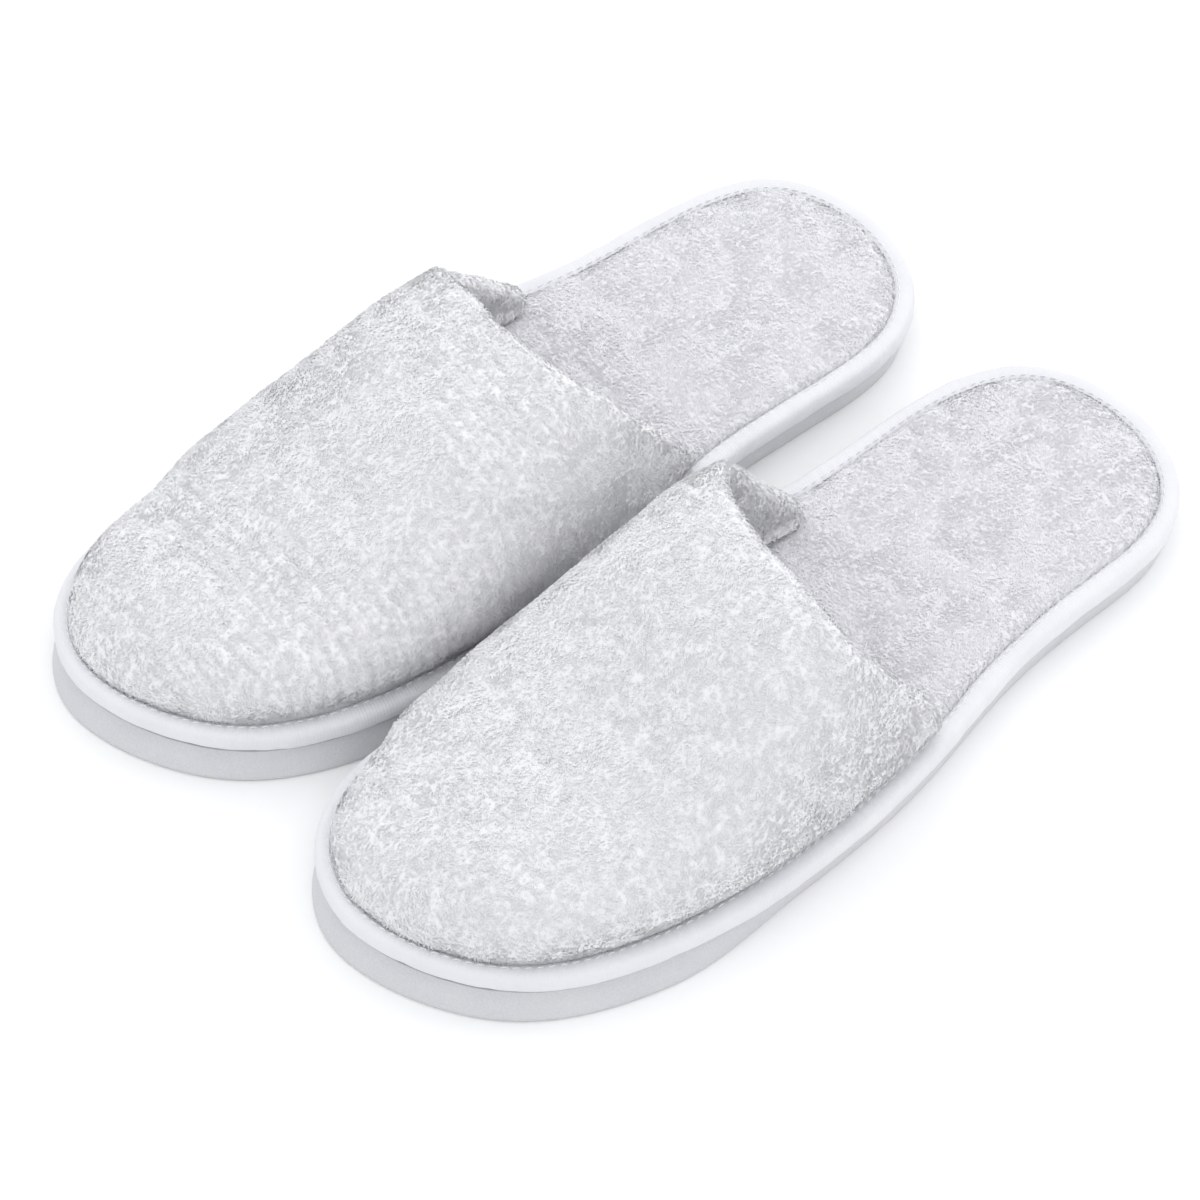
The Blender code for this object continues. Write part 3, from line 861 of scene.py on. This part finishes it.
def make_stitches(slipper):
    sole = slipper.sole
    count = int(sole.run[-1] / STITCH_PITCH)
    middles = (np.arange(count) + 0.5) * sole.run[-1] / count
    ring = sole.ring(STITCH_INSET, STITCH_HEIGHT)
    ring = np.vstack([ring, ring[:1]])
    inward = np.vstack([sole.inward, sole.inward[:1]])
    points = [stitch_tube(middle, sole.run, ring, inward) for middle in middles]
    tube_size = STITCH_SIDES * STITCH_STATIONS
    k = np.arange(STITCH_SIDES)
    after = (k + 1) % STITCH_SIDES
    quads, triangles = [], []
    for first in np.arange(count) * (tube_size + 2):
        tip, last = first + tube_size, first + tube_size - STITCH_SIDES
        quads.append(first + ring_quads(STITCH_STATIONS, STITCH_SIDES))
        triangles.append(np.stack([first + after, first + k, tip + 0 * k], axis=1))
        triangles.append(np.stack([last + k, last + after, tip + 1 + 0 * k], axis=1))
    mesh = mesh_of("stitches", np.vstack(points), np.vstack(quads), np.vstack(triangles))
    tidy(mesh, 1e-9)
    slipper.add_layer(mesh, "binding_stitching", "thread", "thread")


# The vamp

ARCH_COLUMNS = 240
FOOT_COLUMNS = 26
VAMP_ROWS = 210
ROLL_ROWS = 16
RIB_PITCH = 4.6 * MM
RIB_WARP = 1.4 * MM
HEM_SHARES = np.linspace(0.996, 0.955, 12)
HEM_GAP = 0.25 * MM
VAMP_GAP = 0.3 * MM
LINING_SHARES = np.linspace(0, 1, 110)[::3]


def vamp_turns(arch, foot):
    middle = np.linspace(-ARCH_SHARE, ARCH_SHARE, arch)
    outer = ARCH_SHARE + (1 - ARCH_SHARE) * np.linspace(0, 1, foot + 1)[1:]
    return np.concatenate([-outer[::-1], middle, outer])


def vamp_grid(slipper, turns, shares, depth):
    """Points of one skin of the vamp, row by row from the toe to the throat."""
    look, sole = slipper.look, slipper.sole
    minus_side = np.arange(sole.count) > SIDE_POINTS
    tucked = np.where(minus_side, curve_through(look["tuck"], sole.edge[:, 1] / MM),
                      curve_through(PLUS_TUCK, sole.edge[:, 1] / MM)) * MM
    columns = []
    for turn in turns:
        rise = max(abs(turn) - ARCH_SHARE, 0) / (1 - ARCH_SHARE)
        angle = min(abs(turn) / ARCH_SHARE, 1) * math.pi / 2
        side = -1 if turn < 0 else 1
        belly = BELLY_INSET + depth + tucked
        foot = VAMP_FOOT_INSET + depth
        plus, minus, tip = sole.sides(belly + (foot - belly) * min(rise / FOOT_SHARE, 1) ** 1.5)
        end = curve_through(look["plus" if turn < 0 else "minus"], math.degrees(angle)) * MM
        end += (look["feet"][0 if turn < 0 else 1] * MM - end) * rise
        along = tip[1] + (end - tip[1]) * (1 - np.cos(shares * math.pi / 2))
        order_plus, order_minus = np.argsort(plus[:, 1]), np.argsort(minus[:, 1])
        plus_x = np.interp(along, plus[order_plus, 1], plus[order_plus, 0])
        minus_x = np.interp(along, minus[order_minus, 1], minus[order_minus, 0])
        half = (plus_x - minus_x) / 2
        x = (plus_x + minus_x) / 2 - side * half * math.sin(angle) ** 0.8
        low, high = BELLY_HEIGHTS
        belly_height = low + (high - low) * smooth_step(along, *BELLY_RISE)
        if rise > 0:
            z = belly_height + (VAMP_FOOT - belly_height) * rise
        else:
            crest = curve_through(look["crest"], np.maximum(along - 0.7 * depth, 0) / MM) * MM
            crest = np.maximum(crest - depth, belly_height + 0.4 * MM)
            z = belly_height + (crest - belly_height) * max(math.cos(angle), 0) ** 0.9
        if turn > 0:
            raised = math.sin(2 * angle) if rise == 0 else 0.0
            z = z + curve_through(look["shoulder"], along / MM) * MM * raised
            near_throat = smooth_step(shares, 0.55, 1.0)
            low_wall = math.sin(angle) ** 6 * (1 - smooth_step(rise, 0.3, 1.0))
            x = x + look["lean"] * near_throat * low_wall
        columns.append(np.stack([x, along, z], axis=1))
    return np.stack(columns, axis=1)


def rolled_edge(skin, inner):
    """The rounded hem: half a turn from the skin's last row over to the lining's."""
    over = skin[-1] - skin[-4]
    over /= np.linalg.norm(over, axis=1)[:, None]
    across = inner[-1] - skin[-1]
    radius = np.linalg.norm(across, axis=1)[:, None] / 2
    rows = []
    for angle in np.linspace(0, math.pi, ROLL_ROWS + 1)[1:]:
        rows.append(skin[-1] + over * radius * 1.1 * math.sin(angle) + across * (1 - math.cos(angle)) / 2)
    return np.array(rows)


PILE = "pile"


def shell_mesh(name, outer, inner, piled=(0, 0)):
    """A closed shell from two skins. The outer one may have more rows, past the inner's end.
    piled marks which of them carries pile."""
    rows, columns = outer.shape[:2]
    inner_rows = inner.shape[0]
    first = rows * columns
    quads = [grid_quads(rows, columns), grid_quads(inner_rows, columns, first)[:, ::-1]]
    row = np.arange(inner_rows - 1)
    for column, flip in ((0, 1), (columns - 1, -1)):
        a = row * columns + column
        b = first + row * columns + column
        side = np.stack([a, b, b + columns, a + columns], axis=1)
        quads.append(side[:, ::flip])
    k = np.arange(columns - 1)
    last, inner_last = (rows - 1) * columns, first + (inner_rows - 1) * columns
    quads.append(np.stack([last + k, last + k + 1, inner_last + k + 1, inner_last + k], axis=1))
    triangles = []
    for column in (0, columns - 1):
        centre = inner_last + column
        for extra in range(inner_rows - 1, rows - 1):
            triangles.append((extra * columns + column, (extra + 1) * columns + column, centre))
    points = np.vstack([outer.reshape(-1, 3), inner.reshape(-1, 3)])
    mesh = mesh_of(name, points, np.vstack(quads), triangles)
    marks = np.concatenate([np.full(rows * columns, piled[0]), np.full(inner_rows * columns, piled[1])])
    mesh.attributes.new(PILE, "FLOAT", "POINT").data.foreach_set("value", marks.astype(np.float32))
    return tidy(mesh)


def piled_share(mesh):
    share = np.zeros(len(mesh.vertices), np.float32)
    mesh.attributes[PILE].data.foreach_get("value", share)
    return share.astype(float)


def make_vamp_plush(slipper):
    """The outer layer, with its hem rolled over the throat's edge and turned in."""
    seed = slipper.seed("vamp")
    turns = vamp_turns(ARCH_COLUMNS, FOOT_COLUMNS)
    shares = np.linspace(0, 1, VAMP_ROWS)
    skin = vamp_grid(slipper, turns, shares, SKIN_DEPTH)
    inner_edge = vamp_grid(slipper, turns, shares[-5:], LINING_DEPTHS[1])
    turned_in = vamp_grid(slipper, turns, HEM_SHARES, LINING_DEPTHS[1] + HEM_GAP)
    skin = np.vstack([skin, rolled_edge(skin, inner_edge), turned_in])
    back = vamp_grid(slipper, turns, np.linspace(0, 0.985, 60), FOAM_DEPTHS[0] - VAMP_GAP)
    mesh = shell_mesh("vamp_outer", skin, back, piled=(1, 0))
    points = coordinates(mesh)
    ends = smooth_step(points[:, 2], 15 * MM, 19 * MM)
    warp = RIB_WARP * noise(points, 18 * MM, seed + 5)
    rows = 0.5 + 0.5 * np.cos(2 * math.pi * (points[:, 1] + warp) / RIB_PITCH)
    patches = smooth_step(noise(points, 26 * MM, seed + 6), -0.3, 0.4)
    ground = ground_of_pile(points, seed) - slipper.look["ribs"] * MM * rows ** 3 * patches
    move_out(mesh, piled_share(mesh) * ground * (0.25 + 0.75 * ends))
    piece = slipper.add(mesh, "vamp_plush", "vamp", "plush", False, ("upper_outer",))
    return piece


def make_vamp_foam(slipper):
    turns = vamp_turns(90, 8)
    outer, inner = [vamp_grid(slipper, turns, np.linspace(0, 0.975, 30), depth) for depth in FOAM_DEPTHS]
    mesh = shell_mesh("vamp_foam", outer, inner)
    piece = slipper.add(mesh, "vamp_foam", "foam", "soft_foam", False, ("upper_foam",))


def make_vamp_lining(slipper):
    turns = vamp_turns(150, 12)
    back = vamp_grid(slipper, turns, LINING_SHARES * 0.98, LINING_DEPTHS[0])
    face = vamp_grid(slipper, turns, LINING_SHARES * 0.995, LINING_DEPTHS[1] - 0.2 * MM)
    mesh = shell_mesh("vamp_lining", back, face, piled=(0, 1))
    ground = ground_of_pile(coordinates(mesh), slipper.seed("lining"))
    move_out(mesh, piled_share(mesh) * ground * 0.7)
    piece = slipper.add(mesh, "vamp_lining", "lining", "plush", False, ("upper_lining",))
    return piece


# The pile

def surface_samples(mesh, count, weigh, rng):
    """Random points on a mesh, with the face's normal. weigh(centres, normals) says how thickly,
    and a mesh with marked skins has them on the marked one only."""
    size = len(mesh.polygons)
    area, centre, facing = np.zeros(size), np.zeros(size * 3), np.zeros(size * 3)
    mesh.polygons.foreach_get("area", area)
    mesh.polygons.foreach_get("center", centre)
    mesh.polygons.foreach_get("normal", facing)
    centre, facing = centre.reshape(-1, 3), facing.reshape(-1, 3)
    chance = area * weigh(centre, facing)
    if PILE in mesh.attributes:
        starts = np.zeros(size, np.int32)
        mesh.polygons.foreach_get("loop_start", starts)
        corners = np.zeros(len(mesh.loops), np.int32)
        mesh.loops.foreach_get("vertex_index", corners)
        marked = piled_share(mesh)[corners]
        chance = chance * (np.minimum.reduceat(marked, starts) > 0.5)
    chosen = rng.choice(size, count, p=chance / chance.sum())
    reach = np.sqrt(area[chosen])[:, None]
    shift = rng.uniform(-0.5, 0.5, (count, 3)) * reach
    shift -= facing[chosen] * np.sum(shift * facing[chosen], axis=1)[:, None]
    return centre[chosen] + shift, facing[chosen]


# How far a tuft is shaded as the ground it stands on, and the shares of its three tones
GROUND_SHARE = 0.96
TONE_SHARES = (0.3, 0.45, 0.25)
SWIRL = 7 * MM


def tufts(name, roots, facing, rng, height, lean, width, droop, seed):
    """Bent, pointed tufts of three sides, standing on the roots and leaning in swirls."""
    count = len(roots)
    towards = np.array([0.25, -0.35, -1.0]) * droop
    first = np.cross(facing, np.array([0.31, 0.2, 0.93]))
    first /= np.linalg.norm(first, axis=1)[:, None]
    second = np.cross(facing, first)
    turn = math.pi * 1.3 * noise(roots, SWIRL, seed) + rng.normal(0, 0.6, count)
    flow = np.cos(turn)[:, None] * first + np.sin(turn)[:, None] * second + towards
    flow -= facing * np.sum(flow * facing, axis=1)[:, None]
    flow /= np.maximum(np.linalg.norm(flow, axis=1), 1e-6)[:, None]
    across = np.cross(facing, flow)
    tall = (height * rng.uniform(0.65, 1.25, count))[:, None]
    far = (lean * rng.uniform(0.4, 1.3, count))[:, None]
    curl = (lean * rng.normal(0, 0.35, count))[:, None]
    wide = (width * rng.uniform(0.7, 1.25, count))[:, None]
    foot = roots - facing * 0.25 * MM
    knee = roots + facing * tall * 0.62 + flow * far * 0.35 + across * curl * 0.3
    tip = roots + facing * tall * 0.8 + flow * far + across * curl
    points = np.zeros((count, 7, 3))
    for corner in range(3):
        angle = 2 * math.pi * corner / 3
        spread = math.cos(angle) * across + math.sin(angle) * flow
        rise = math.cos(angle) * across + math.sin(angle) * (flow * 0.5 - facing * 0.6)
        points[:, corner] = foot + spread * wide
        points[:, 3 + corner] = knee + rise * wide * 0.85
    points[:, 6] = tip
    base = (np.arange(count) * 7)[:, None]
    quads = np.vstack([base + np.array([k, 3 + k, 3 + (k + 1) % 3, (k + 1) % 3]) for k in range(3)])
    triangles = [base + np.array([3 + k, 6, 3 + (k + 1) % 3]) for k in range(3)]
    triangles.append(base + np.array([0, 1, 2]))
    mesh = mesh_of(name, points.reshape(-1, 3), quads, np.vstack(triangles))
    tone = rng.choice(3, count, p=TONE_SHARES)
    order = np.concatenate([np.tile(tone, 3), np.tile(tone, 4)])
    mesh.polygons.foreach_set("material_index", order.astype(np.int32))
    mesh.shade_smooth()
    soft = np.repeat(facing, 7, axis=0) * GROUND_SHARE + normals_of(mesh) * (1 - GROUND_SHARE)
    soft /= np.linalg.norm(soft, axis=1)[:, None]
    mesh.normals_split_custom_set_from_vertices(soft.astype(np.float32))
    return mesh


def local_mesh(piece, origin):
    """A copy of a piece's mesh back in the slipper's own frame."""
    mesh = piece.data.copy()
    mesh.transform(Matrix.Translation(-Vector(origin)))
    return mesh


TUFTS_A_PIECE = 19500
VAMP_PILE_FROM = 15.4 * MM
INSOLE_PILE_FROM = 14.8 * MM

# Height, lean, width and droop
VAMP_TUFT = (0.72 * MM, 1.15 * MM, 0.2 * MM, 0.6)
INSOLE_TUFT = (0.62 * MM, 1.1 * MM, 0.2 * MM, 0.0)
LINING_TUFT = (0.7 * MM, 1.1 * MM, 0.25 * MM, 0.0)


def on_vamp(centre, facing):
    return centre[:, 2] > VAMP_PILE_FROM


def on_insole(centre, facing):
    """Thick where the back is open, and thin under the vamp."""
    shown = smooth_step(centre[:, 1], 105 * MM, 140 * MM)
    return (0.04 + shown) * (facing[:, 2] > 0.1) * (centre[:, 2] > INSOLE_PILE_FROM)


def on_lining(centre, facing):
    """Thick near the throat, and thin towards the toe."""
    near = smooth_step(centre[:, 1], 105 * MM, 155 * MM)
    return (0.03 + near) * (centre[:, 2] > VAMP_PILE_FROM)


def make_pile(slipper, cover, plush, lining):
    rng = np.random.default_rng(slipper.look["seed"])
    piles = (
        (plush, on_vamp, VAMP_TUFT, "vamp_pile", ("_1", "_2", "_3"), "vamp_tufts"),
        (cover, on_insole, INSOLE_TUFT, "insole_pile", ("_1", "_2"), "cover_tufts"),
        (lining, on_lining, LINING_TUFT, "lining_pile", ("",), "lining_tufts"),
    )
    for piece, weigh, tuft, name, endings, material in piles:
        ground = local_mesh(piece, slipper.origin)
        for ending in endings:
            roots, facing = surface_samples(ground, TUFTS_A_PIECE, weigh, rng)
            mesh = tufts("pile", roots, facing, rng, *tuft, slipper.seed(name))
            slipper.add(mesh, name + ending, material, "plush", piece is cover)


def make_slipper(side, materials):
    slipper = Slipper(side, materials)
    make_outsole(slipper)
    make_board(slipper)
    make_pad(slipper)
    cover = make_cover(slipper)
    make_tape(slipper)
    make_stitches(slipper)
    plush = make_vamp_plush(slipper)
    make_vamp_foam(slipper)
    lining = make_vamp_lining(slipper)
    make_pile(slipper, cover, plush, lining)


# ---------------------------------------------------------------- floor, light and camera

CAMERA_PLACE = (0.6134, -0.5165, 1.0240)
CAMERA_FORWARD = (-0.7736, 0.6337)
CAMERA_DOWN = 52.0
CAMERA_LENS = 136.8

# Name, place, target, size and power
LIGHTS = (
    ("front", (0.66, -0.62, 1.2), (0, 0, 0), 1.3, 1.9),
    ("top", (-0.55, 0.15, 1.5), (0, 0, 0), 1.8, 5.6),
    ("back", (0.3, 1.25, 0.85), (0, 0.05, 0.03), 1.3, 4.2),
)
WORLD_COLOUR = (0.97, 0.98, 1.0, 1)
WORLD_STRENGTH = 0.94
FLOOR_HALF = 6.0
FLOOR_DROP = 0.2 * MM


def make_camera():
    data = bpy.data.cameras.new("camera")
    data.lens = CAMERA_LENS
    data.sensor_width = 36.0
    data.clip_start = 0.05
    camera = bpy.data.objects.new("camera", data)
    bpy.context.scene.collection.objects.link(camera)
    down = math.radians(CAMERA_DOWN)
    flat = Vector((*CAMERA_FORWARD, 0)).normalized()
    forward = flat * math.cos(down) - Vector((0, 0, math.sin(down)))
    camera.location = CAMERA_PLACE
    camera.rotation_mode = "QUATERNION"
    camera.rotation_quaternion = forward.to_track_quat("-Z", "Y")
    bpy.context.scene.camera = camera


def area_light(name, place, target, size, power):
    data = bpy.data.lights.new(name, "AREA")
    data.shape = "DISK"
    data.size = size
    data.energy = power
    light = bpy.data.objects.new(name, data)
    bpy.context.scene.collection.objects.link(light)
    light.location = place
    light.rotation_mode = "QUATERNION"
    light.rotation_quaternion = (Vector(target) - Vector(place)).to_track_quat("-Z", "Y")


def make_stage():
    corners = np.array([(-1, -1), (1, -1), (1, 1), (-1, 1)]) * FLOOR_HALF
    mesh = mesh_of("floor", np.column_stack([corners, np.full(4, -FLOOR_DROP)]), [(0, 1, 2, 3)])
    floor = bpy.data.objects.new("floor", mesh)
    bpy.context.scene.collection.objects.link(floor)
    mesh.materials.append(Shading("studio_floor").finish((0.96, 0.96, 0.96, 1), 0.9))
    world = bpy.data.worlds.new("studio")
    bpy.context.scene.world = world
    world.use_nodes = True
    background = world.node_tree.nodes["Background"]
    background.inputs["Color"].default_value = WORLD_COLOUR
    background.inputs["Strength"].default_value = WORLD_STRENGTH
    for light in LIGHTS:
        area_light(*light)
    scene = bpy.context.scene
    scene.view_settings.view_transform = "Standard"
    scene.view_settings.look = "None"


def main():
    make_camera()
    materials = make_materials()
    for side in ("left", "right"):
        make_slipper(side, materials)
    make_stage()


main()
